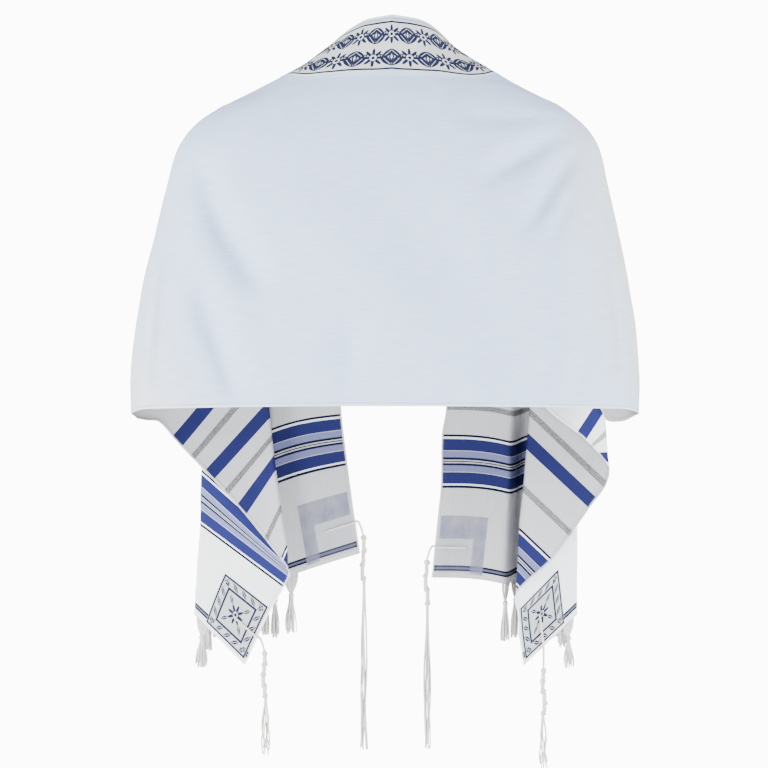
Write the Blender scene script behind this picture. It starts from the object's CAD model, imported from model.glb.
"""Look of the draped prayer shawl: striped cloth, satin band, patches and tassels.

Sizes are millimetres and become metres in the meshes. The origin is the
wearer's neck: x to the right in the back view, y away from the back view's
camera, z up. "at" is the distance along the cloth from a short end, "across"
the distance from the neck edge. A rib is a line across the cloth at one "at".
"""

import random
from bisect import bisect_right
from math import copysign, cos, exp, pi, radians, sin

import bmesh
import bpy
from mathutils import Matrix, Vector, noise


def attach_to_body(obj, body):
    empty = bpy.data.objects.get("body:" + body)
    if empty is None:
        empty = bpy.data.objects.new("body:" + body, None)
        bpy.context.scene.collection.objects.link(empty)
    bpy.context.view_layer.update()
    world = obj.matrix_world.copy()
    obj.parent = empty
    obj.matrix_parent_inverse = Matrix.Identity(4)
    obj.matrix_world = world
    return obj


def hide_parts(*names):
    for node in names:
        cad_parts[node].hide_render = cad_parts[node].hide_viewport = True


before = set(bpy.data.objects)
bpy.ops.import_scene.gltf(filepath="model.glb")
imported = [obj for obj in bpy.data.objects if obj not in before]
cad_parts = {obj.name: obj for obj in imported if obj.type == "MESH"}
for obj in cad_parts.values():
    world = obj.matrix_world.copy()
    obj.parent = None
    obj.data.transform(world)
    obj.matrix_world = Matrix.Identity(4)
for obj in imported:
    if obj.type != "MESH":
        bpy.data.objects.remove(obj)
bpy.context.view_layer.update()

MM = 0.001
DEPTH = Vector((0, 1, 0))
UP = Vector((0, 0, 1))

CLOTH_WIDTH = 500.0  # neck edge to hem
CLOTH_THICK = 0.7
FOLD = 5.0  # radius of a pleat's fold
FOLD_LOSS, FOLD_TAPER = 0.55, 120.0  # share of its radius that a fold loses, over what length
RUN_OUT = 50.0  # length over which a pleat runs out
TURN = 3.0  # radius of the folds beside the right arm
TURN_START, ARM_START = 305.0, 432.0  # where the right hem turns back, and forth again
TURN_TOP = 523.0  # where the turn beside the right arm runs out

SHOULDER_LIFT = 5.0  # rise of the cloth between the neck and the shoulder's tip
SHOULDER_RUN = 90.0  # length over which a front becomes the shoulder's ridge
CHEST = 16.0  # how far a front panel bellies forward
BOW = 14.0  # rise of a rib's middle on the fronts
BOW_END = 3.0  # what the left front has of it at the short end
FLUTES_FADE, BOW_FADE = (150, 480), (400, 560)  # "at" where they start and end to fade
FLUTE_FROM, FLUTE_SPAN = 0.5, 0.46  # share of a front where its two flutes start, and their width
GATHER = 0.8  # rise of the cloth in the flutes, as a share of their depth

BACK_HEIGHT = 410.0  # hem to the line below the neckband, along the cloth
HEM_RISE = 5.0  # the back hem's middle above its end stretches
HEM_ROLL = 7.0  # those above the ends, where the hem rolls round the arms
RING_POWER, DEPTH_POWER = 0.85, 0.72  # how square the back is, seen from above

PATCH_IN = 5.0  # patch, from the cloth's edges
PATCH_OUT = 80.0
PATCH_MIDDLE = (PATCH_IN + PATCH_OUT) / 2
BAND_HALF = 310.0  # neckband, from its middle to an end
SATIN_STEP = 2.5  # between the points of its mesh
SATIN_LIFT = 0.9  # outer face of the satin above the middle of the cloth
BAND_THICK, PATCH_THICK = 0.5, 0.4
HOLE = 39.0  # middle of a corner hole, from both edges
INSET = 5.0  # short step inward from an edge

FRINGE_PITCH = 29.0
FRINGE_ROOT = 20.0  # width of a tassel along the short end
FRONT_CLEAR = 6.0  # from a front's patch to its first tassel
FOLD_CLEAR = 24.0  # from a front's last tassel to the outer fold
PLEAT_CLEAR = 4.0  # from the outer fold to a pleat's tassel
KNOT_DROP = 27.0  # short end to knot
KNOT_RADII = (2.5, 2.9, 2.5)
TASSEL_LENGTH = 50.0  # knot to tip
PLEAT_TASSEL = 0.76  # size of the pleats' tassels
ROOT_THREADS, TASSEL_THREADS = 13, 30  # above and below a knot
ROOT_TUCK = 0.9  # how far the threads start inside the short end
ROOT_RADIUS = 0.75
THREAD_RADII = (1.0, 0.7)  # of a tassel's thread at its knot and its tip

FRONT_KNOTS = (1, 19, 38, 57)  # drops of a corner tassel's double knots below its top
PLEAT_KNOTS = (1, 15, 29, 44, 58)
KNOT_LENGTH = 5.0
STEM_LENGTH = 45.0  # knots and windings that a strand's length is counted below
CORE_RADIUS, WINDING_PITCH = 2.0, 1.9
LOOP_RADIUS, LOOP_TWIST = 0.8, 0.75  # a strand of the loop, its way from the middle
LOOP_OVER, LOOP_UNDER = 3.0, 2.2  # from the cloth to the loop on either side of it
STRANDS, STRAND_RADIUS = 8, 1.0

STEP = 6.0  # between ribs below the hem of the back
BACK_COUNT = 56  # ribs between the hem and the line below the neckband
SHARE_COUNT = 56  # columns on either side of the back's middle
TURN_STEPS, ARC_COUNT = 4, 34  # steps round a fold, and round the arm's side


def even(count):
    """Shares between 0 and 1, both left out."""
    return [k / count for k in range(1, count)]


FRONT_CUTS = even(32)[:16] + [FLUTE_FROM + FLUTE_SPAN * k / 28 for k in range(1, 29)] + [0.98]
PLEAT_CUTS = even(26)
LOW_CUTS = even(18)
TURN_CUTS = even(10)


def way(row, k):
    """From the entry before the k-th one of a row to the entry after it."""
    return row[min(k + 1, len(row) - 1)] - row[max(k - 1, 0)]


class Line:
    """A smooth line through rows of (at, x, y, z)."""

    def __init__(self, *rows):
        self.at = [row[0] for row in rows]
        self.p = [Vector(row[1:]) for row in rows]

    def __call__(self, at):
        a, p = self.at, self.p
        i = min(max(bisect_right(a, at) - 1, 0), len(a) - 2)
        h = a[i + 1] - a[i]
        t = min(max((at - a[i]) / h, 0), 1)
        slope = [self.slope(i), self.slope(i + 1)]
        t2, t3 = t * t, t * t * t
        return (
            p[i] * (2 * t3 - 3 * t2 + 1)
            + slope[0] * h * (t3 - 2 * t2 + t)
            + p[i + 1] * (3 * t2 - 2 * t3)
            + slope[1] * h * (t3 - t2)
        )

    def slope(self, i):
        return way(self.p, i) / way(self.at, i)


NECK_LEFT = Line(
    (0, -34, 118, -618), (67, -45, 120, -545), (112, -51, 122, -499), (188, -60, 124, -419),
    (381, -70, 120, -205), (490, -74, 108, -87), (572, -75, 82, -4), (635, -71, 50, 46),
    (705, -62, -22, 65), (756, -29, -50, 86), (800, 9, -60, 93),
)
FOLD_OUT_LEFT = Line(
    (0, -259, 86, -698), (116, -251, 90, -576), (180, -250, 92, -503), (378, -244, 94, -293),
    (508, -235, 82, -156), (565, -217, 60, -84),
)
FOLD_IN_LEFT = Line(
    (159, -131, 72, -635), (180, -133, 74, -605), (217, -141, 76, -554), (262, -149, 78, -492),
    (320, -157, 80, -421), (378, -167, 80, -326), (444, -175, 77, -232), (508, -182, 68, -148),
    (565, -197, 52, -88),
)
HEM_LEFT = Line(
    (0, -188, 48, -763), (76, -155, 60, -693), (132, -130, 70, -648), (159, -131, 72, -636),
    (217, -161, 70, -597), (262, -194, 66, -556), (320, -237, 60, -509), (378, -279, 50, -464),
    (406, -302, 40, -437), (425, -318, 24, -434), (433, -330, 12, -431), (438, -334, 2, -426),
)
SIDE_LEFT = Line(
    (0, -334, 2, -426), (56, -334, 0, -368), (117, -327, -2, -305), (173, -317, -4, -249),
    (222, -305, -5, -199), (279, -291, -6, -142), (333, -278, -6, -88), (357, -268, -5, -66),
    (386, -248, -4, -42), (423, -216, -2, -20), (432, -209, 0, -17),
)
SPLIT_LEFT = Line(
    (565, -207, 56, -86), (597, -210, 34, -44), (622, -209, 10, -22), (635, -209, 0, -17),
    (667, -164, -44, -10), (705, -123, -62, 4), (756, -55, -80, 9), (800, 9, -86, 11),
)
NECK_RIGHT = Line(
    (0, 64, 118, -651), (83, 73, 120, -562), (117, 77, 122, -525), (179, 78, 124, -457),
    (216, 84, 124, -418), (381, 88, 121, -239), (490, 92, 110, -121), (572, 94, 90, -35),
    (660, 90, 50, 43), (730, 81, -22, 65), (781, 51, -50, 86), (826, 9, -60, 93),
)
FOLD_OUT_RIGHT = Line(
    (0, 261, 86, -698), (116, 261, 90, -572), (180, 261, 92, -503), (290, 259, 94, -386),
    (378, 254, 94, -291), (508, 246, 84, -153), (583, 228, 60, -80),
)
FOLD_IN_RIGHT = Line(
    (107, 177, 70, -669), (180, 182, 74, -582), (217, 187, 76, -527), (262, 192, 78, -463),
    (290, 196, 80, -424), (378, 200, 80, -299), (444, 204, 77, -211), (508, 209, 68, -138),
    (583, 212, 52, -80),
)
TURN_OUT_RIGHT = Line(
    (305, 302, 52, -497), (320, 300, 51, -485), (351, 297, 50, -452), (378, 293, 52, -410),
    (432, 285, 61, -334), (483, 256, 60, -262), (523, 229, 55, -200),
)
TURN_IN_RIGHT = Line(
    (432, 214, 38, -411), (457, 224, 43, -361), (483, 226, 46, -298), (508, 224, 47, -240),
    (523, 222, 47, -205),
)
HEM_RIGHT = Line(
    (0, 186, 48, -764), (38, 181, 54, -727), (76, 179, 62, -696), (107, 177, 70, -670),
    (180, 225, 66, -623), (217, 251, 62, -588), (262, 280, 57, -546), (290, 297, 54, -522),
    (305, 302, 52, -500), (320, 289, 46, -482), (378, 264, 42, -457), (432, 214, 36, -413),
    (472, 281, 22, -413), (495, 290, 22, -423), (514, 296, 20, -435), (540, 317, 12, -435),
    (555, 327, 6, -430), (565, 334, 1, -426),
)
SIDE_RIGHT = Line(
    (0, 334, 1, -426), (56, 334, 0, -368), (116, 328, -2, -305), (170, 319, -4, -249),
    (236, 306, -5, -182), (297, 292, -6, -120), (329, 285, -6, -88), (352, 277, -5, -66),
    (381, 259, -4, -42), (419, 228, -2, -18), (434, 215, 0, -12),
)
SPLIT_RIGHT = Line(
    (578, 222, 56, -83), (616, 219, 34, -42), (645, 216, 10, -18), (660, 215, 0, -12),
    (692, 176, -44, -3), (730, 136, -62, 8), (781, 71, -80, 10), (826, 9, -86, 11),
)
BACK_MIDDLE = Line(  # share of the height, then x, y of the back's middle line
    (0.0, 0, -138, 0), (0.3, 0, -140, 0), (0.6, 0, -138, 0), (0.8, 0, -126, 0), (0.93, 0, -105, 0),
    (1.0, 0, -86, 0),
)


def smooth(low, high, value):
    """0 below low, 1 above high, with a soft passage between them."""
    t = min(max((value - low) / (high - low), 0), 1)
    return t * t * (3 - 2 * t)


def fold_radius(at, top, radius=FOLD):
    return radius * (1 - FOLD_LOSS * smooth(top - FOLD_TAPER, top, at))


class Half:
    """Lines of one half of the shawl, and marks along its cloth as values of "at"."""

    def __init__(self, **values):
        vars(self).update(values)

    def side_point(self, at):
        share = (at - self.side_start) / (self.tip - self.side_start)
        return self.side(share * self.side.at[-1])

    def edge(self, at):
        """The hem, and above it the side of the back."""
        return self.hem(at) if at <= self.side_start else self.side_point(at)

    def running_out(self, at):
        return smooth(self.pleat_end - RUN_OUT, self.pleat_end, at)

    def outer(self, at):
        """The outer fold, which runs out into the line between front and shoulder."""
        return self.fold_out(at).lerp(self.split(at), self.running_out(at))

    def inner(self, at):
        """The inner fold, which begins at the hem."""
        if at <= self.inner_start:
            return self.hem(at)
        return self.fold_in(at).lerp(self.split(at), self.running_out(at))

    def radius(self, at):
        return fold_radius(at, self.pleat_top) * (1 - self.running_out(at))

    def inner_radius(self, at):
        return self.radius(at) * smooth(self.inner_start, self.inner_full, at)

    def folded(self, at):
        return int(at < self.pleat_end - 0.1)

    def front(self, at, bow):
        """The stretch from the neck edge to the outer fold."""
        ridge = smooth(self.tip - SHOULDER_RUN, self.tip, at)
        flutes = self.flutes * (1 - smooth(*FLUTES_FADE, at))

        def shape(t):
            wave = sin(2 * pi * min(max((t - FLUTE_FROM) / FLUTE_SPAN, 0), 1)) ** 2
            belly = sin(pi * t)
            lift = bow * (1 - ridge) + SHOULDER_LIFT * ridge
            gather = GATHER * flutes * smooth(0.5, 0.82, t) * (1 - smooth(0.9, 1, t))
            return Vector((0, flutes * wave + CHEST * belly * (1 - ridge), lift * belly + gather))

        neck, fold = self.neck(at), self.outer(at)
        return rib(neck, fold, 0, self.folded(at), 0, self.radius(at), FRONT_CUTS, shape)

    def pleat(self, at):
        """The stretch from the outer fold to the inner one, or to the hem below its start."""
        turned, radii = int(at > self.inner_start), (self.radius(at), self.inner_radius(at))
        return rib(self.outer(at), self.inner(at), -1, turned, *radii, PLEAT_CUTS)

    def back_place(self, share):
        """Value of "at" at a share of the way from the hem's turn to the shoulder's tip."""
        return self.side_start + share * (self.tip - self.side_start)

    def low_parts(self, at, bow):
        """The front, and the pleat where there is one."""
        parts = {self.name + "_front": self.front(at, bow)}
        if self.folded(at):
            parts[self.name + "_pleat"] = self.pleat(at)
        return parts


LEFT = Half(
    name="left",
    neck=NECK_LEFT,
    fold_out=FOLD_OUT_LEFT,
    fold_in=FOLD_IN_LEFT,
    hem=HEM_LEFT,
    side=SIDE_LEFT,
    split=SPLIT_LEFT,
    inner_start=159.0,  # where the inner fold begins, at the hem
    inner_full=185.0,  # where it has its full radius
    side_start=438.0,  # the hem's turn round the arm
    pleat_top=562.0,
    pleat_end=590.7,  # where the pleat has run out
    tip=635.0,  # the rib along the shoulder
    middle=800.0,  # the middle of the back
    flutes=44.0,  # depth of the front's flutes at the short end
)
RIGHT = Half(
    name="right",
    neck=NECK_RIGHT,
    fold_out=FOLD_OUT_RIGHT,
    fold_in=FOLD_IN_RIGHT,
    hem=HEM_RIGHT,
    side=SIDE_RIGHT,
    split=SPLIT_RIGHT,
    inner_start=107.0,
    inner_full=130.0,
    side_start=565.0,
    pleat_top=578.0,
    pleat_end=593.5,
    tip=660.0,
    middle=826.0,
    flutes=40.0,
)


def end_turn(point, inward, side, radius):
    """Points from a fold (side 1 behind it, -1 before it) or edge (0) inward."""
    across = Vector((inward.x, 0, inward.z)).normalized()
    points = []
    for k in range(TURN_STEPS + 1):
        angle = pi / 2 * k / TURN_STEPS
        if side == 0:
            points.append(point + inward * 0.8 * k)
        else:
            move = across * (1 - cos(angle)) + DEPTH * side * sin(angle)
            points.append(point + move * radius)
    return points


def flat(_):
    return Vector()


def rib(a, b, side_a, side_b, radius_a, radius_b, cuts, shape=flat):
    """Points across one stretch from a to b, with a turned fold at either end."""
    along = (b - a).normalized()
    start = end_turn(a, along, side_a, radius_a)
    end = end_turn(b, -along, side_b, radius_b)
    middle = [start[-1].lerp(end[-1], t) + shape(t) for t in cuts]
    return start + middle + end[::-1]


def round_rib(a, b, side_a, radius, start):
    """From a fold to the arm's side, round as a quarter of an ellipse."""
    along = (b - a).normalized()
    turn = end_turn(a, along, side_a, radius)
    p, begin = turn[-1], radians(start)
    points = []
    for k in range(1, ARC_COUNT + 1):
        angle = begin + (pi / 2 - begin) * (1 - k / ARC_COUNT)
        fx = (cos(begin) - cos(angle)) / cos(begin)
        fy = (sin(angle) - sin(begin)) / (1 - sin(begin))
        x, y, z = b.x + (p.x - b.x) * fx, b.y + (p.y - b.y) * fy, b.z + (p.z - b.z) * fx
        points.append(Vector((x, y, z)))
    return turn + points


def left_rib(at):
    """The stretches of the left half at one "at", neck edge first."""
    bow = BOW_END + BOW * smooth(0, 180, at) * (1 - smooth(*BOW_FADE, at))
    parts = LEFT.low_parts(at, bow)
    if at >= LEFT.inner_start:
        start = 65 * (1 - smooth(300, LEFT.side_start, at))
        fold, edge, side = LEFT.inner(at), LEFT.edge(at), -LEFT.folded(at)
        parts["left_side"] = round_rib(fold, edge, side, LEFT.inner_radius(at), start)
    return parts


def right_low_side(at):
    """Stretches between the right inner fold and the hem, below the shoulder."""
    turn = fold_radius(at, TURN_TOP, TURN) * smooth(TURN_START, 325, at)
    turn *= 1 - smooth(500, TURN_TOP, at)
    arm_turn = turn * smooth(ARM_START, 450, at)
    turned, armed = int(at > TURN_START), int(at > ARM_START)
    hem = RIGHT.hem(at)
    first = TURN_OUT_RIGHT(at) if turned else hem
    second = TURN_IN_RIGHT(at) if armed else hem
    radii = RIGHT.inner_radius(at), turn
    parts = {"right_side": rib(RIGHT.inner(at), first, -1, turned, *radii, LOW_CUTS)}
    if at >= TURN_START:
        parts["right_turn"] = rib(first, second, -1, armed, turn, arm_turn, TURN_CUTS)
    if at >= ARM_START:
        parts["right_arm"] = rib(second, hem, -1, 0, arm_turn, 0, LOW_CUTS)
    return parts


def right_upper(at):
    """From the right inner fold round to the arm's side, above the turn."""
    start = 80 * (1 - smooth(TURN_TOP + 14, RIGHT.side_start, at))
    fold, edge, side = RIGHT.inner(at), RIGHT.edge(at), -RIGHT.folded(at)
    return round_rib(fold, edge, side, RIGHT.radius(at), start)


def lengths(points, start=0.0):
    """Distance of each point along a line of points."""
    out = [start]
    for p, q in zip(points, points[1:]):
        out.append(out[-1] + (q - p).length)
    return out


def reach_point(line, reach):
    """Point at a distance along a line of points."""
    for p, q in zip(line, line[1:]):
        step = (q - p).length
        if reach <= step:
            return p.lerp(q, reach / max(step, 1e-6))
        reach -= step
    return line[-1]


def spaced(points, shares):
    """Points along a line of points at given shares of its length."""
    total = lengths(points)[-1]
    return [reach_point(points, share * total) for share in shares]


LOW_TOP = [point for part in right_low_side(TURN_TOP).values() for point in part]
LOW_REACH = lengths(LOW_TOP)
LOW_SHARES = [reach / LOW_REACH[-1] for reach in LOW_REACH]
UPPER_START = spaced(right_upper(TURN_TOP), LOW_SHARES)


def right_rib(at):
    """The stretches of the right half at one "at", neck edge first."""
    parts = RIGHT.low_parts(at, BOW * (1 - smooth(*BOW_FADE, at)))
    if RIGHT.inner_start <= at <= TURN_TOP:
        parts.update(right_low_side(at))
    if at >= TURN_TOP:
        share = smooth(TURN_TOP, TURN_TOP + 25, at)
        upper = spaced(right_upper(at), LOW_SHARES)
        shifted = [p + q - r for p, q, r in zip(LOW_TOP, upper, UPPER_START)]
        mixed = [p.lerp(q, share) for p, q in zip(shifted, upper)]
        mixed[0], mixed[-1] = RIGHT.inner(at), RIGHT.edge(at)
        parts["right_upper"] = mixed
    return parts


CREASES = (  # x and z of the two ends, half-width, depth into the back
    (-240, -96, -203, -200, 18, 11), (-216, -165, -154, -274, 23, 16), (-242, -246, -180, -425, 19, 12),
    (-292, -190, -314, -430, 11, -10), (90, -48, 242, -42, 9, 5), (248, -50, 116, -132, 15, 13),
    (248, -76, 172, -198, 14, 14), (243, -136, 205, -214, 10, 6), (292, -180, 314, -430, 11, -10),
    (226, -324, 226, -420, 11, -8), (-120, -120, 90, -400, 55, -9), (30, -150, 190, -420, 42, 11),
    (-40, -300, -60, -430, 26, 8),
)


def crease_depth(x, z):
    total = 0.0
    for x0, z0, x1, z1, width, depth in CREASES:
        along, spot = Vector((x1 - x0, z1 - z0)), Vector((x - x0, z - z0))
        t = min(max(spot.dot(along) / along.length_squared, 0), 1)
        away = (spot - along * t).length / width
        total += depth * exp(-away * away) * smooth(-0.1, 0.3, t) * (1 - smooth(0.65, 1.1, t))
    return total


def middle_place(share):
    """Half and "at" at a share of the way from the back's middle to a shoulder's tip."""
    half = LEFT if share < 0 else RIGHT
    return half, half.middle - (half.middle - half.tip) * abs(share)


def split_point(share):
    half, at = middle_place(share)
    return half.split(at)


def back_row(f, angles):
    """One row of the back, f 0 at the hem and 1 at the line below the neckband."""
    left = LEFT.side_point(LEFT.back_place(f))
    right = RIGHT.side_point(RIGHT.back_place(f))
    foot, top = LEFT.side.p[0].z, LEFT.side.p[-1].z
    height = min(max((left.z - foot) / (top - foot), 0), 1)
    middle = BACK_MIDDLE(height).y
    first, last, peak = LEFT.split(LEFT.tip), RIGHT.split(RIGHT.tip), LEFT.split.p[-1]
    row = []
    for q in angles:
        split = split_point(sin(q))
        ring = 0.5 + 0.5 * abs(sin(q)) ** RING_POWER * copysign(1, q)
        w = ring + ((split.x - first.x) / (last.x - first.x) - ring) * height**2
        depth = max(cos(q), 0) ** DEPTH_POWER
        depth += (split.y / peak.y - depth) * height**3
        side = left.lerp(right, w)
        roll = HEM_RISE * cos(q) ** 2 + HEM_ROLL * smooth(0, 0.45, cos(q))
        sag = roll * (1 - height) ** 6
        z = side.z + (split.z - first.lerp(last, w).z) * height**1.5 + sag
        y = side.y + (middle - side.y) * depth
        y += crease_depth(side.x, z) * smooth(0, 0.35, cos(q)) * (1 - smooth(0.85, 1, f))
        row.append(Vector((side.x, y, z)))
    row[0], row[-1] = left, right
    return row


def neck_column(share):
    """A rib from the neck edge to the line below the neckband, behind the neck."""
    half, at = middle_place(share)
    lift = SHOULDER_LIFT * smooth(0.3, 0.9, abs(share))

    def rise(t):
        return Vector((0, 0, lift * sin(pi * t)))

    return rib(half.neck(at), half.split(at), 0, 0, 0, 0, FRONT_CUTS, rise)


def steps(low, high, size):
    count = max(round((high - low) / size), 1)
    return [low + (high - low) * k / count for k in range(count + 1)]


def rib_places(half, *turns):
    """Values of "at": even steps between marks, then one for each row of the back."""
    marks = [0, half.inner_start, *turns, half.side_start]
    places = [0]
    for low, high in zip(marks, marks[1:]):
        places += steps(low, high, STEP)[1:]
    return places + steps(half.side_start, half.tip, (half.tip - half.side_start) / BACK_COUNT)[1:]


PLACES_LEFT = rib_places(LEFT)
PLACES_RIGHT = rib_places(RIGHT, TURN_START, ARM_START, TURN_TOP)


def link(name, data):
    """A new object in the scene that shows a mesh, lamp or camera."""
    obj = bpy.data.objects.new(name, data)
    bpy.context.scene.collection.objects.link(obj)
    return obj


def add_wall(obj, thick, offset):
    wall = obj.modifiers.new("wall", "SOLIDIFY")
    wall.thickness = thick * MM
    wall.offset = offset
    return wall


def ripple(co):
    """Height of the cloth's small unevenness, in metres."""
    slow = noise.noise(co * 16)
    quick = noise.noise(co * 45 + Vector((3, 1, 7)))
    return 0.0012 * slow + 0.0004 * quick


class Piece:
    """A mesh that grows part by part; coords are a face's places on the flat fabric."""

    def __init__(self):
        self.verts, self.faces, self.coords = [], [], []

    def build(self, name):
        mesh = bpy.data.meshes.new(name)
        mesh.from_pydata([v * MM for v in self.verts], [], self.faces)
        if self.coords:
            spots = mesh.uv_layers.new(name="fabric").data
            for spot, (x, y) in zip(spots, [place for face in self.coords for place in face]):
                spot.uv = (x * MM, y * MM)
        mesh.shade_smooth()
        return link(name, mesh)

    def add_fabric(self, rows, flip):
        """rows: lines of a point and its two distances on the flat fabric."""
        base, cols = len(self.verts), len(rows[0])
        for row in rows:
            self.verts += [spot[0] for spot in row]
        for i in range(len(rows) - 1):
            for j in range(cols - 1):
                quad = [(i, j), (i + 1, j), (i + 1, j + 1), (i, j + 1)]
                if flip:
                    quad.reverse()
                self.faces.append([base + a * cols + b for a, b in quad])
                self.coords.append([rows[a][b][1:] for a, b in quad])

    def add_thread(self, path, radius, sides):
        """A round thread along a path, closed at both ends; radius may taper from root to tip."""
        root, tip = radius if isinstance(radius, tuple) else (radius, radius)
        frame_x = Vector((1, 0, 0))
        rings = []
        for k, point in enumerate(path):
            ahead = way(path, k).normalized()
            frame_x = (frame_x - ahead * frame_x.dot(ahead)).normalized()
            frame_y = ahead.cross(frame_x)
            r = root + (tip - root) * k / (len(path) - 1)
            rings.append(range(len(self.verts), len(self.verts) + sides))
            for s in range(sides):
                angle = 2 * pi * s / sides
                spoke = frame_x * cos(angle) + frame_y * sin(angle)
                self.verts.append(point + spoke * r)
        for a, b in zip(rings, rings[1:]):
            for s in range(sides):
                t = (s + 1) % sides
                self.faces.append([a[s], a[t], b[t], b[s]])
        self.faces += [list(rings[0])[::-1], list(rings[-1])]

    def add_coil(self, top, low, high, radius, tube, turns):
        """Windings round a vertical stem between two drops below its top."""
        path = []
        count = max(int(turns * 12), 12)
        for k in range(count + 1):
            angle = 2 * pi * turns * k / count
            drop = low + (high - low) * k / count
            path.append(top + Vector((radius * cos(angle), radius * sin(angle), -drop)))
        self.add_thread(path, tube, 5)


def join_stretches(mesh):
    """Sews the stretches together where they share an edge, and ripples them."""
    bm = bmesh.new()
    bm.from_mesh(mesh)
    bmesh.ops.remove_doubles(bm, verts=bm.verts, dist=0.0002)
    bmesh.ops.dissolve_degenerate(bm, edges=bm.edges, dist=0.00005)
    for vert in bm.verts:
        if not vert.is_boundary:
            vert.co += vert.normal * ripple(vert.co)
    bm.to_mesh(mesh)
    bm.free()
    mesh.shade_smooth()


def half_rows(half, rib_at, places):
    """Rows of each stretch of a half, with their places on the flat cloth."""
    stretches = {}
    for at in places:
        lines, total = {}, 0.0
        for name, points in rib_at(at).items():
            reach = lengths(points, total)
            total = reach[-1]
            lines[name] = zip(points, reach)
        share = max((at - half.side_start) / (half.tip - half.side_start), 0)
        width = CLOTH_WIDTH - BACK_HEIGHT * share
        for name, line in lines.items():
            stretches.setdefault(name, []).append([(p, at, v * width / total) for p, v in line])
    return stretches


def along_row(points, start, across):
    return [(point, reach, across) for point, reach in zip(points, lengths(points, start))]


ANGLES = [pi / 2 * k / SHARE_COUNT for k in range(-SHARE_COUNT, SHARE_COUNT + 1)]
BACK = [back_row(k / BACK_COUNT, ANGLES) for k in range(BACK_COUNT)]
BACK.append([split_point(sin(q)) for q in ANGLES])
NECK = [neck_column(sin(q)) for q in ANGLES]


def make_cloth():
    cloth = Piece()
    for rows in half_rows(LEFT, left_rib, PLACES_LEFT).values():
        cloth.add_fabric(rows, True)
    for rows in half_rows(RIGHT, right_rib, PLACES_RIGHT).values():
        cloth.add_fabric(rows, False)
    back = []
    for k, row in enumerate(BACK):
        share = k / BACK_COUNT
        back.append(along_row(row, LEFT.back_place(share), CLOTH_WIDTH - BACK_HEIGHT * share))
    cloth.add_fabric(back, True)
    neck = []
    for j, across in enumerate(lengths(NECK[SHARE_COUNT])):
        neck.append(along_row([column[j] for column in NECK], LEFT.tip, across))
    cloth.add_fabric(neck, False)
    obj = cloth.build("shawl_cloth")
    join_stretches(obj.data)
    return obj


def overlay(name, grid, along, across, outer, thick):
    """Satin sewn on the outer face; along and across are the places of the grid's lines."""
    columns = list(zip(*grid))
    normals = []
    for i, line in enumerate(grid):
        pairs = [(way(columns[j], i), way(line, j)) for j in range(len(line))]
        normals.append([u.cross(v).normalized() for u, v in pairs])
    flip = normals[len(grid) // 2][len(across) // 2].dot(outer) <= 0
    sign = -1 if flip else 1
    rows = []
    for x, line, turns in zip(along, grid, normals):
        lifts = [SATIN_LIFT + ripple(p * MM) / MM for p in line]
        raised = [p + n * sign * lift for p, n, lift in zip(line, turns, lifts)]
        rows.append([(p, x, y) for p, y in zip(raised, across)])
    satin = Piece()
    satin.add_fabric(rows, flip)
    obj = satin.build(name)
    add_wall(obj, thick, -1)
    return obj


def make_neckband():
    left, right = LEFT.middle - BAND_HALF, RIGHT.middle - BAND_HALF
    lines = [left_rib(at)["left_front"] for at in PLACES_LEFT if at >= left]
    lines += NECK[1:-1]
    lines += [right_rib(at)["right_front"] for at in PLACES_RIGHT[::-1] if at >= right]
    across = steps(PATCH_IN, PATCH_OUT, SATIN_STEP)
    grid = [[reach_point(line, d) for d in across] for line in lines]
    along = lengths([line[len(across) // 2] for line in grid])
    for x, line in zip(along, grid):
        for d, point in zip(across, line):
            point.z += 0.5 * noise.noise(Vector((x * 0.05, d * 0.02, 3)))
    along = [x - along[-1] / 2 for x in along]
    return overlay("neckband_satin", grid, along, across, Vector((0, -1, 0.5)), BAND_THICK)


CORNERS = {  # the ribs, whether the corner is at the hem, its outer side, length of the strands,
    # way from the edge to the bend of the loop, and on to the top of the stem
    "left_front": (left_rib, False, DEPTH, 255, Vector((4, 0, 0)), Vector((7, 0, -18))),
    "left_pleat": (left_rib, True, -DEPTH, 98, Vector((4, 0, -2)), Vector((5, 0, -16))),
    "right_front": (right_rib, False, DEPTH, 218, Vector((-4, 0, 0)), Vector((-7, 0, -18))),
    "right_pleat": (right_rib, True, -DEPTH, 92, Vector((0, 0, -7)), Vector((0, 0, -22))),
}


def corner_line(name, at):
    """The rib of a corner's stretch, from the corner's own long edge inward."""
    rib_at, at_hem, *_ = CORNERS[name]
    line = rib_at(at)[name]
    return line[::-1] if at_hem else line


def make_patch(name):
    size = steps(PATCH_IN, PATCH_OUT, SATIN_STEP)
    lines = [corner_line(name, at) for at in size]
    grid = [[reach_point(line, d) for d in size] for line in lines]
    return overlay("corner_patch_" + name, grid, size, size, CORNERS[name][2], PATCH_THICK)


def add_roots(yarn, rng, roots, out, knot, along):
    """Threads drawn together from the short end to a tassel's knot."""
    facing = along.cross(UP)
    for share, edge in roots:
        root = edge - out * ROOT_TUCK
        level = rng.uniform(-0.4, 0.4)
        path = []
        for t in (0, 0.15, 0.35, 0.6, 0.85, 1.0):
            p = (root + out * 3 * min(t * 5, 1)).lerp(knot, t)
            p += along * (share - 0.5) * 6 * sin(pi * t) * 0.6
            p += facing * level * (1 + smooth(0, 1, t))
            path.append(p)
        yarn.add_thread(path, ROOT_RADIUS, 4)


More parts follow.
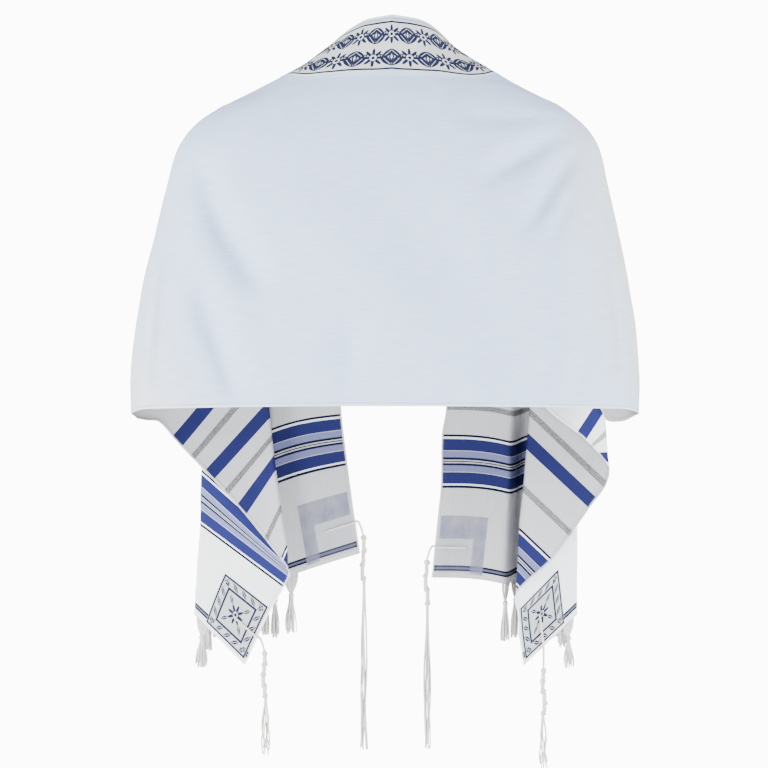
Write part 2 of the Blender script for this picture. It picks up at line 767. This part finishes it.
def add_tassel(yarn, rng, knot, along, length):
    """A knot of three windings and the threads that hang from it."""
    for turn, radius in enumerate(KNOT_RADII):
        yarn.add_coil(knot + UP * (1.6 - 1.5 * turn), 0, 1.2, radius, 1.1, 1.1)
    facing = along.cross(UP)
    for s in range(TASSEL_THREADS):
        angle, ring = rng.uniform(0, 2 * pi), rng.uniform(0, 1) ** 0.5
        spread = along * cos(angle) * ring + facing * sin(angle) * ring * 0.8
        drop = length + rng.uniform(-5, 2)
        lean = rng.uniform(-1.5, 1.5)
        path = []
        for t in (0, 0.1, 0.3, 0.5, 0.75, 1.0):
            p = knot + spread * (1.6 + 6.0 * smooth(0, 0.75, t)) - UP * (drop * t + 1)
            path.append(p + along * lean * sin(3 * t + s))
        yarn.add_thread(path, THREAD_RADII, 4)


def make_fringe(name, seed):
    """Tied tassels along the short end of one corner's stretch."""
    rib_at, at_hem, *_ = CORNERS[name]
    line, inner = rib_at(0)[name], rib_at(INSET)[name]
    length = lengths(line)[-1]
    low, high = PATCH_OUT + FRONT_CLEAR, length - FOLD_CLEAR
    size = 1.0
    if at_hem:
        low, high = PLEAT_CLEAR, length - PATCH_OUT + 2 * PLEAT_CLEAR
        size = PLEAT_TASSEL
    yarn, rng = Piece(), random.Random(seed)
    span = high - low - FRINGE_ROOT
    count = int(span / FRINGE_PITCH + 1e-6) + 1
    slack = (span - (count - 1) * FRINGE_PITCH) / 2
    for k in range(count):
        start = low + slack + k * FRINGE_PITCH
        a, b = reach_point(line, start), reach_point(line, start + FRINGE_ROOT)
        out = ((a + b) / 2 - reach_point(inner, start + FRINGE_ROOT / 2)).normalized()
        along = Vector((b.x - a.x, b.y - a.y, 0)).normalized()
        knot = (a + b) / 2 + out * 2 - UP * (KNOT_DROP * size - 2)
        shares = [s / (ROOT_THREADS - 1) for s in range(ROOT_THREADS)]
        roots = [(share, reach_point(line, start + FRINGE_ROOT * share)) for share in shares]
        add_roots(yarn, rng, roots, out, knot, along)
        add_tassel(yarn, rng, knot, along, TASSEL_LENGTH * size)
    return yarn.build("tassels_" + name)


def sway(drop, seed):
    """How far a stem leaves the plumb line at a drop below its top."""
    return Vector((1.6 * sin(drop * 0.11 + seed), 0, 0)) * min(drop / 20, 1)


def rounded(path):
    """More points on a soft line through the points of a path."""
    out, last = [], len(path) - 1
    for k in range(last):
        p0, p1, p2, p3 = path[max(k - 1, 0)], path[k], path[k + 1], path[min(k + 2, last)]
        for q in range(10):
            t = q / 10
            straight = 2 * p1 + (p2 - p0) * t
            bent = (2 * p0 - 5 * p1 + 4 * p2 - p3) * t * t + (3 * p1 - p0 - 3 * p2 + p3) * t**3
            out.append(0.5 * (straight + bent))
    return [*out, path[-1]]


def add_loop(yarn, path):
    """Three strands twisted round each other along a path."""
    for phase in range(3):
        twist = []
        for k, point in enumerate(path):
            angle = 0.9 * k + 2 * pi * phase / 3
            ahead = way(path, k).normalized()
            side = ahead.cross(Vector((0.3, 0.2, 1))).normalized()
            spoke = side * cos(angle) + ahead.cross(side) * sin(angle)
            twist.append(point + spoke * LOOP_TWIST)
        yarn.add_thread(twist, LOOP_RADIUS, 5)


def add_stem(yarn, rng, top, knots, seed):
    """Core, double knots and the windings between them."""
    drops = steps(0, knots[-1] + KNOT_LENGTH, 3)
    yarn.add_thread([top + sway(drop, seed) - UP * drop for drop in drops], CORE_RADIUS, 8)
    for low in knots:
        spot = top + sway(low, seed)
        size = rng.uniform(0.9, 1.15)
        waist = low + KNOT_LENGTH * 0.45
        yarn.add_coil(spot, low, waist, 2.3 * size, 1.3, 1.2)
        spot = spot + Vector((rng.uniform(-0.7, 0.7), -0.3, 0))
        yarn.add_coil(spot, waist, low + KNOT_LENGTH, 2.9 * size, 1.4, 1.4)
    for low, high in zip(knots, knots[1:]):
        spot = top + sway((low + high) / 2, seed)
        yarn.add_coil(spot, low + KNOT_LENGTH, high, 2.1, 0.9, (high - low) / WINDING_PITCH)


def add_strands(yarn, rng, foot, strand):
    """Eight strands that hang from the foot of a stem."""
    for s in range(STRANDS):
        angle = 2 * pi * s / STRANDS + rng.uniform(-0.3, 0.3)
        spread = Vector((cos(angle), sin(angle) * 0.7, 0))
        length = strand + rng.uniform(-12, 0)
        wave = rng.uniform(0, 6)
        path = []
        for q in range(25):
            t = q / 24
            flare = 1.2 + rng.uniform(0, 0.15) + (3.2 if s % 2 else 2.0) * smooth(0, 0.5, t)
            p = foot + spread * flare - UP * (length * t)
            p += Vector((2.0 * sin(wave + 8 * t), 1.2 * cos(wave + 6 * t), 0)) * t
            path.append(p)
        yarn.add_thread(path, STRAND_RADIUS, 5)


def loop_spots(name, beyond):
    """A corner loop's bend beyond the edge, its way over the edge, and the hole."""
    places = [(HOLE, 0), (HOLE, INSET), (HOLE, HOLE)]
    if name == "right_pleat":  # its loop lies over the short end
        places = [(0, HOLE), (INSET, HOLE), (HOLE, HOLE)]
    bend, edge, hole = (reach_point(corner_line(name, at), reach) for at, reach in places)
    return [bend + beyond, edge, hole]


def make_corner_tassel(name, seed):
    """Loop through the hole, knotted and wound stem, eight long strands."""
    _, at_hem, outer, strand, beyond, move = CORNERS[name]
    spots = loop_spots(name, beyond)
    top = spots[0] + move
    over = [spot + outer * LOOP_OVER for spot in spots]
    under = [spot - outer * LOOP_UNDER for spot in spots]
    knots = PLEAT_KNOTS if at_hem else FRONT_KNOTS
    yarn, rng = Piece(), random.Random(seed)
    add_loop(yarn, rounded([top, *over, *under[::-1], top]))
    add_stem(yarn, rng, top, knots, seed)
    stem = knots[-1] + KNOT_LENGTH
    foot = top + sway(stem, seed) - UP * (stem - 1)
    add_strands(yarn, rng, foot, strand + STEM_LENGTH - stem)
    return yarn.build("tzitzit_" + name)


class Shade:
    """A material made of a Principled shader and the nodes that feed it."""

    def __init__(self, name, roughness, specular=0.5):
        self.material = bpy.data.materials.new(name)
        self.material.use_nodes = True
        self.tree = self.material.node_tree
        self.inputs = self.tree.nodes["Principled BSDF"].inputs
        self.inputs["Roughness"].default_value = roughness
        self.inputs["Specular IOR Level"].default_value = specular

    def feed(self, inputs, values):
        """Feeds inputs, given by name or number, with numbers, colours or other values."""
        for key, value in values.items():
            if isinstance(value, Val):
                self.tree.links.new(value.socket, inputs[key])
            else:
                inputs[key].default_value = value

    def node(self, kind, values, output=0, **settings):
        node = self.tree.nodes.new("ShaderNode" + kind)
        for key, value in settings.items():
            setattr(node, key, value)
        self.feed(node.inputs, values)
        return Val(self, node.outputs[output])

    def math(self, operation, *values):
        return self.node("Math", dict(enumerate(values)), operation=operation)

    def place(self):
        """The two distances on the fabric, in millimetres."""
        uv = {0: self.node("UVMap", {})}
        return self.node("SeparateXYZ", uv) / MM, self.node("SeparateXYZ", uv, 1) / MM

    def noise(self, x, y, z=0.0, detail=2.0):
        spot = self.node("CombineXYZ", {0: x, 1: y, 2: z})
        return self.node("TexNoise", {"Vector": spot, "Scale": 1.0, "Detail": detail})

    def step(self, low, high, value):
        values = {0: value, 1: low, 2: high}
        return self.node("MapRange", values, interpolation_type="SMOOTHSTEP")

    def mix(self, factor, a, b, blend="MIX"):
        a, b = (tone if isinstance(tone, Val) else (*tone, 1) for tone in (a, b))
        values = {0: factor, 6: a, 7: b}
        return self.node("Mix", values, 2, data_type="RGBA", blend_type=blend)

    def ramp(self, factor, stops):
        """Colours that change at set places, without blending."""
        colours = self.node("ValToRGB", {0: factor})
        ramp = colours.socket.node.color_ramp
        ramp.interpolation = "CONSTANT"
        ramp.elements.remove(ramp.elements[1])
        ramp.elements[0].position = 0
        ramp.elements[0].color = (*stops[0][1], 1)
        for place, colour in stops[1:]:
            ramp.elements.new(place).color = (*colour, 1)
        return colours

    def finish(self, colour, height, distance=0.3):
        """The material with its colour and the bumps of its surface."""
        normal = self.node("Bump", {"Height": height, "Distance": distance * MM})
        self.feed(self.inputs, {"Base Color": colour, "Normal": normal})
        return self.material


def operation(name):
    """A method that joins a value with others in a math node."""
    return lambda self, *others: self.shade.math(name, self, *others)


class Val:
    """A value in a node tree that can be used in sums."""

    def __init__(self, shade, socket):
        self.shade, self.socket = shade, socket

    __add__ = __radd__ = operation("ADD")
    __mul__ = __rmul__ = operation("MULTIPLY")
    __sub__ = operation("SUBTRACT")
    __truediv__ = operation("DIVIDE")
    size, sin, cos = operation("ABSOLUTE"), operation("SINE"), operation("COSINE")
    least, most = operation("MINIMUM"), operation("MAXIMUM")

    def __rsub__(self, other):
        return self.shade.math("SUBTRACT", other, self)

    def within(self, limit, soft=0.25):
        """1 where the value is less than limit, 0 beyond it."""
        return self.shade.step(-soft, soft, limit - self)

    def line(self, half, soft=0.2):
        """A line of this half-width where the value is 0."""
        return self.size().within(half, soft)

    def repeat(self, period):
        """Distance from the middle of the nearest repeat."""
        return self.shade.math("FLOORED_MODULO", self + period / 2, period) - period / 2


BRIGHT = (0.80, 0.83, 0.86)
NAVY = (0.002, 0.004, 0.024)
BLUE = (0.016, 0.019, 0.100)
LIGHT = (0.098, 0.115, 0.295)
PALE = (0.44, 0.46, 0.50)
BLACK = (0.008, 0.010, 0.020)
SILVER = (0.085, 0.085, 0.085)
HATCH = (0.10, 0.11, 0.16)
THREAD = (0.62, 0.62, 0.61)
CORD = (0.62, 0.61, 0.56)
FRONT_TONES = (0.72, 0.755, 0.79), (0.84, 0.86, 0.87)
BACK_TONES = (0.40, 0.515, 0.74), (0.50, 0.605, 0.81)
SIDE_TONES = (0.49, 0.53, 0.555), (0.585, 0.615, 0.63)
INNER_TINTS = (0.52, 0.51, 0.525), (0.74, 0.74, 0.74)  # of the plain cloth and of the stripes
PATCH_SHADOW = (0.13, 0.135, 0.20)  # a corner patch that shows through the cloth
SATIN_TONES = (0.46, 0.50, 0.51), (0.56, 0.59, 0.59)
SATIN_RIB = (0.40, 0.42, 0.46)
STITCH_LIGHT = (0.05, 0.06, 0.17)

BACK_REACH = 1776.0  # where the right short end would be, counted along the back
SIDE_ZONE = (380, 440)  # distance from a short end where the fronts' tone becomes the sides'
BACK_ZONE = (490, 660)  # where that becomes the back's
END_STRIPES = ((8.8, NAVY), (11.2, HATCH), (13.8, NAVY), (16.2, NAVY))
GROUP = (  # distance from the short end where each stripe starts
    (114.3, NAVY), (117.2, BRIGHT), (119.6, BLUE), (133.8, PALE), (134.6, LIGHT), (142.4, NAVY),
    (145.2, PALE), (146.7, BLACK), (148.1, PALE), (149.6, NAVY), (152.4, LIGHT), (160.4, PALE),
    (161.2, BLUE), (175.6, BRIGHT), (178.4, NAVY), (181.5, NAVY),
)
LIGHT_PARTS = ((134.6, 142.4), (152.4, 160.4))
BLUE_MIDDLES = (262.0, 320.0, 378.0)
BLUE_HALF = 8.0
BLUE_EDGE = 1.2
SILVER_MIDDLES = (217.0, 290.0, 351.0)
SILVER_HALF = 3.6
HEM_EDGE, HEM_FOLD, HEM_STITCH = 2.4, 5.0, 4.2  # bright edge, hem's width, place of its stitches
SHADOW_HALF = 37.0  # half the width of a patch's shadow
SHADOW_ALONG, SHADOW_ACROSS = (49.0, 51.0), (58.0, 61.0)  # where the shadow gets darker


def between(place, low, high):
    """1 from low to high, else 0."""
    return (place - (low + high) / 2).size().within((high - low) / 2)


def nearest(place, middles):
    """Distance to the nearest of the middles."""
    least = (place - middles[0]).size()
    for middle in middles[1:]:
        least = least.least((place - middle).size())
    return least


def lay_stripes(shade, colour, place, stripes):
    """Colour with a set of neighbouring stripes laid on it; the last row ends the set."""
    low, high = stripes[0][0], stripes[-1][0]
    stops = [((at - low) / (high - low), tone) for at, tone in stripes]
    tones = shade.ramp((place - low) / (high - low), stops)
    return shade.mix(between(place, low, high), colour, tones)


def cloth_ground(shade, along, slub, inner):
    """The undyed cloth: whiter fronts, neutral sides and a cooler back."""
    weft_tone = shade.step(0.3, 0.72, slub)
    front = shade.mix(weft_tone, *FRONT_TONES)
    if inner:
        return front
    to_end = along.least(BACK_REACH - along)
    side = shade.mix(weft_tone, *SIDE_TONES)
    side = shade.mix(shade.step(*SIDE_ZONE, to_end), front, side)
    back = shade.mix(weft_tone, *BACK_TONES)
    return shade.mix(shade.step(*BACK_ZONE, to_end), side, back)


def see_through(shade, colour, along, rim, striped):
    """The inner face: paler stripes, and the shadow of the corner patches."""
    middle = (along - PATCH_MIDDLE).size().most((rim - PATCH_MIDDLE).size())
    patch = middle.within(SHADOW_HALF, 0.8)
    dark_side = shade.step(*SHADOW_ALONG, along).most(shade.step(*SHADOW_ACROSS, rim))
    cloudy = shade.noise(along * 0.06, rim * 0.06, 3.0)
    shadow = patch * (0.22 + dark_side * 0.56) * (0.6 + cloudy * 0.8)
    colour = shade.mix(1.0, colour, shade.mix(striped, *INNER_TINTS), "MULTIPLY")
    return shade.mix(shadow, colour, PATCH_SHADOW)


def cloth_material(name, inner):
    shade = Shade(name, 0.82, 0.08)
    along, across = shade.place()
    slub = shade.noise(along * 0.035, across * 0.75, 1.0, 3.0)
    fine = shade.noise(along * 0.5, across * 2.2, 5.0)
    weft = shade.noise(along * 1.6, across * 0.12, 9.0)
    ragged = along + (shade.noise(across * 1.4, along * 0.05, 2.0) - 0.5) * 0.5

    colour = cloth_ground(shade, along, slub, inner)
    colour = lay_stripes(shade, colour, ragged, END_STRIPES)
    colour = lay_stripes(shade, colour, ragged, GROUP)
    blue = nearest(ragged, BLUE_MIDDLES)
    colour = shade.mix(blue.within(BLUE_HALF + BLUE_EDGE), colour, BRIGHT)
    colour = shade.mix(blue.within(BLUE_HALF), colour, BLUE)
    striped = between(ragged, END_STRIPES[0][0], END_STRIPES[-1][0])
    striped = striped + between(ragged, GROUP[0][0], GROUP[-1][0]) + blue.within(BLUE_HALF)
    chain = shade.step(0.50, 0.56, shade.noise(along * 1.3, across * 1.3, 7.0, 3.0))
    silver = nearest(ragged, SILVER_MIDDLES).within(SILVER_HALF, 0.5)
    colour = shade.mix(silver, colour, shade.mix(chain, SILVER, BRIGHT))
    colour = shade.mix(1.0, colour, 0.93 + fine * 0.14, "MULTIPLY")
    weave = (along * 3.1).sin() * (across * 3.1).sin()
    light_part = between(ragged, *LIGHT_PARTS[0]) + between(ragged, *LIGHT_PARTS[1])
    colour = shade.mix(light_part * shade.step(0.0, 0.6, weave) * 0.3, colour, BRIGHT)

    rim = across.least(CLOTH_WIDTH - across)
    colour = shade.mix(rim.within(HEM_EDGE, 0.3) * 0.6, colour, BRIGHT)
    stitch = (rim - HEM_STITCH).line(0.5) * shade.step(0.1, 0.5, (along * 2.6).sin())
    colour = shade.mix(stitch * 0.45, colour, HATCH)
    if inner:
        colour = see_through(shade, colour, along, rim, striped)
    height = slub * 0.5 + fine * 0.35 + weft * 0.3 + striped * 0.25 + silver * chain * 0.8
    height = height + rim.within(HEM_FOLD, 0.4) * 1.2 - stitch * 0.9
    return shade.finish(colour, height, 0.28)


def star(shade, dx, dy, radius, points):
    """Petalled star with a round eye."""
    reach = shade.math("SQRT", dx * dx + dy * dy)
    turn = shade.math("ARCTAN2", dy, dx)
    rim = radius * 0.70 + (turn * points).cos() * (radius * 0.30)
    body = (reach - rim).within(0.0)
    eye = (reach - radius * 0.24).line(radius * 0.08)
    return body * (1 - eye)


def leaf(dx, dy, angle, length, width):
    """Pointed leaf with a vein left open along its middle."""
    c, s = cos(angle), sin(angle)
    x = dx * c + dy * s
    y = (dy * c - dx * s).size()
    ratio = x / length
    body = (y - (1 - ratio * ratio) * width).within(0.0)
    vein = y.within(0.35, 0.2) * ratio.line(0.75, 0.05)
    return body * (1 - vein)


def diamond(dx, dy, a, b):
    away = dx.size() / a + dy.size() / b
    body = away.within(1.0, 0.06)
    eye = away.within(0.42, 0.06)
    return body * (1 - eye)


BAND_LINES = (10.5, 76.5)  # distance from the neck edge
BAND_PERIOD = 44.0
BAND_ROWS = ((0.0, 28.0), (22.0, 60.0))  # shift along the band, distance from the neck edge
BAND_LEAVES = (  # place beside a star's middle, angle, length, half-width
    (14.6, 3.5, 0.9, 12.0, 4.4),
    (17.0, -5.2, -0.7, 10.0, 3.8),
)


def band_pattern(shade, x, y):
    """Two rows of stars, leaves and diamonds between two thin lines."""
    mask = (y - BAND_LINES[0]).line(1.3).most((y - BAND_LINES[1]).line(1.3))
    for shift, height in BAND_ROWS:
        row = y - height
        beside = (x + shift).repeat(BAND_PERIOD)
        mask = mask.most(star(shade, beside, row, 13.5, 8))
        for right, up, *shape in BAND_LEAVES:
            mask = mask.most(leaf(beside.size() - right, row - up, *shape))
        between_stars = (x + shift + BAND_PERIOD / 2).repeat(BAND_PERIOD)
        mask = mask.most(diamond(between_stars, row, 3.4, 10.0))
    return mask


FRAME_LINES = ((35.9, 1.2), (23.6, 1.5))  # distance from a patch's middle, half-width
FRAME_MIDDLE = 29.8  # of the row of leaves between them
FRAME_PITCH = 15.0
FRAME_END = 28.5  # where that row stops short of the frame's corners
BRANCH = 13.5  # the four leaves round the middle star


def patch_pattern(shade, x, y):
    """A frame of two lines with leaves between, and one star in the middle."""
    dx, dy = x - PATCH_MIDDLE, y - PATCH_MIDDLE
    away_x, away_y = dx.size(), dy.size()
    ring = away_x.most(away_y)
    outer, inner = ((ring - place).line(half) for place, half in FRAME_LINES)
    mask = outer.most(inner)
    for a, away in ((dx, away_y), (dy, away_x)):
        row = leaf(a.repeat(FRAME_PITCH), away - FRAME_MIDDLE, 0.65, 6.8, 2.4)
        mask = mask.most(row * a.line(FRAME_END, 0.3))
    mask = mask.most(star(shade, away_x - FRAME_MIDDLE, away_y - FRAME_MIDDLE, 4.2, 4))
    mask = mask.most(star(shade, dx, dy, 13.0, 8))
    return mask.most(leaf(away_x - BRANCH, away_y - BRANCH, pi / 4, 6.5, 2.2))


def scaled(colour, share):
    return tuple(c * share for c in colour)


def satin_material(name, pattern, light):
    """Satin with navy embroidery; pattern gives its mask, light how pale the satin is."""
    shade = Shade(name, 0.42, 0.15)
    x, y = shade.place()
    mask = pattern(shade, x, y)
    ribs = (x * 3.4).sin()
    stitch = ((x + y) * 5.0).sin()
    cloudy = shade.noise(x * 0.03, y * 0.03, 4.0)
    ground = shade.mix(cloudy, *(scaled(tone, light) for tone in SATIN_TONES))
    ground = shade.mix(ribs * 0.06 + 0.06, ground, SATIN_RIB)
    dark = shade.mix(stitch * 0.12 + 0.12, NAVY, STITCH_LIGHT)
    shade.feed(shade.inputs, {"Roughness": 0.40 + mask * 0.25})
    height = ribs * 0.12 + mask * 0.8 + mask * stitch * 0.25
    return shade.finish(shade.mix(mask, ground, dark), height)


def thread_material(name, colour):
    shade = Shade(name, 0.78, 0.15)
    place = shade.node("TexCoord", {}, "Object")
    wisps = shade.node("TexNoise", {"Vector": place, "Scale": 900})
    return shade.finish(shade.mix(wisps, scaled(colour, 0.88), colour), wisps)


WORLD_LIGHT = 0.6  # that falls on the shawl
BACKDROP_LIGHT = 12.0  # that the camera sees behind it
LAMPS = (  # name, place, height aimed at, power
    ("key", (-3.0, -0.9, 0.45), -0.3, 260.0),
    ("low_left", (-1.3, -2.0, -1.0), -0.6, 50.0),
    ("low_front", (0.6, -2.3, -0.8), -0.6, 75.0),
    ("side", (3.0, -0.9, 0.45), -0.3, 210.0),
)
LAMP_SIZE = 0.8
FLOOR_HALF = 3.4
FLOOR_Z = -1.45  # the floor that a wearer stands on, below the picture
FLOOR_TONE = (0.85, 0.85, 0.85)
CAMERA_PLACE = (-0.00127, -3.12, -0.386)
CAMERA_LENS = 110.7

CLOTH_STRETCHES = (
    "back", "neck", "left_front", "right_front", "left_pleat", "right_pleat", "left_side",
    "right_side", "right_turn", "right_arm", "right_shoulder",
)


def make_world():
    """White surroundings that are brighter to the camera than to the shawl."""
    world = bpy.data.worlds.new("studio")
    world.use_nodes = True
    nodes, join = world.node_tree.nodes, world.node_tree.links.new
    mix = nodes.new("ShaderNodeMixShader")
    lit, seen = nodes["Background"], nodes.new("ShaderNodeBackground")
    for socket, background, strength in ((1, lit, WORLD_LIGHT), (2, seen, BACKDROP_LIGHT)):
        background.inputs["Color"].default_value = (1, 1, 1, 1)
        background.inputs["Strength"].default_value = strength
        join(background.outputs[0], mix.inputs[socket])
    join(nodes.new("ShaderNodeLightPath").outputs["Is Camera Ray"], mix.inputs[0])
    join(mix.outputs[0], nodes["World Output"].inputs["Surface"])
    bpy.context.scene.world = world


def make_lamps():
    for name, place, aim, power in LAMPS:
        data = bpy.data.lights.new(name, "AREA")
        data.size = LAMP_SIZE
        data.energy = power
        lamp = link(name, data)
        lamp.location = place
        way = Vector((0, 0, aim)) - Vector(place)
        lamp.rotation_euler = way.to_track_quat("-Z", "Y").to_euler()


def make_floor():
    mesh = bpy.data.meshes.new("floor")
    signs = ((-1, -1), (1, -1), (1, 1), (-1, 1))
    verts = [(x * FLOOR_HALF, y * FLOOR_HALF, FLOOR_Z) for x, y in signs]
    mesh.from_pydata(verts, [], [[0, 1, 2, 3]])
    shade = Shade("floor", 0.9)
    shade.feed(shade.inputs, {"Base Color": (*FLOOR_TONE, 1)})
    mesh.materials.append(shade.material)
    link("floor", mesh)


def make_camera():
    data = bpy.data.cameras.new("camera")
    data.lens = CAMERA_LENS
    camera = link("camera", data)
    camera.location = CAMERA_PLACE
    camera.rotation_euler = (pi / 2, 0, 0)
    bpy.context.scene.camera = camera


def attach(obj, material, slot, *nodes):
    obj.data.materials.append(material)
    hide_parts(*nodes)
    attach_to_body(obj, "root")


def main():
    cloth = make_cloth()
    nodes = ["cloth_" + stretch for stretch in CLOTH_STRETCHES]
    attach(cloth, cloth_material("cloth_outer", False), "cloth", *nodes)
    cloth.data.materials.append(cloth_material("cloth_inner", True))
    add_wall(cloth, CLOTH_THICK, 0).material_offset = 1

    band = make_neckband()
    attach(band, satin_material("satin_band", band_pattern, 1.0), "satin", "neckband")
    patch_satin = satin_material("satin_patch", patch_pattern, 0.78)
    fringe_thread = thread_material("fringe_thread", THREAD)
    cord_thread = thread_material("cord_thread", CORD)
    on_cloth = [band]
    for seed, name in enumerate(CORNERS):
        patch = make_patch(name)
        cord = make_corner_tassel(name, seed)
        fringe = make_fringe(name, seed + 20)
        attach(patch, patch_satin, "satin", "patch_" + name)
        attach(cord, cord_thread, "cord", "corner_tassel_" + name)
        attach(fringe, fringe_thread, "fringe", "fringe_" + name)
        on_cloth += [patch, cord, fringe]
    make_world()
    make_lamps()
    make_floor()
    make_camera()


main()
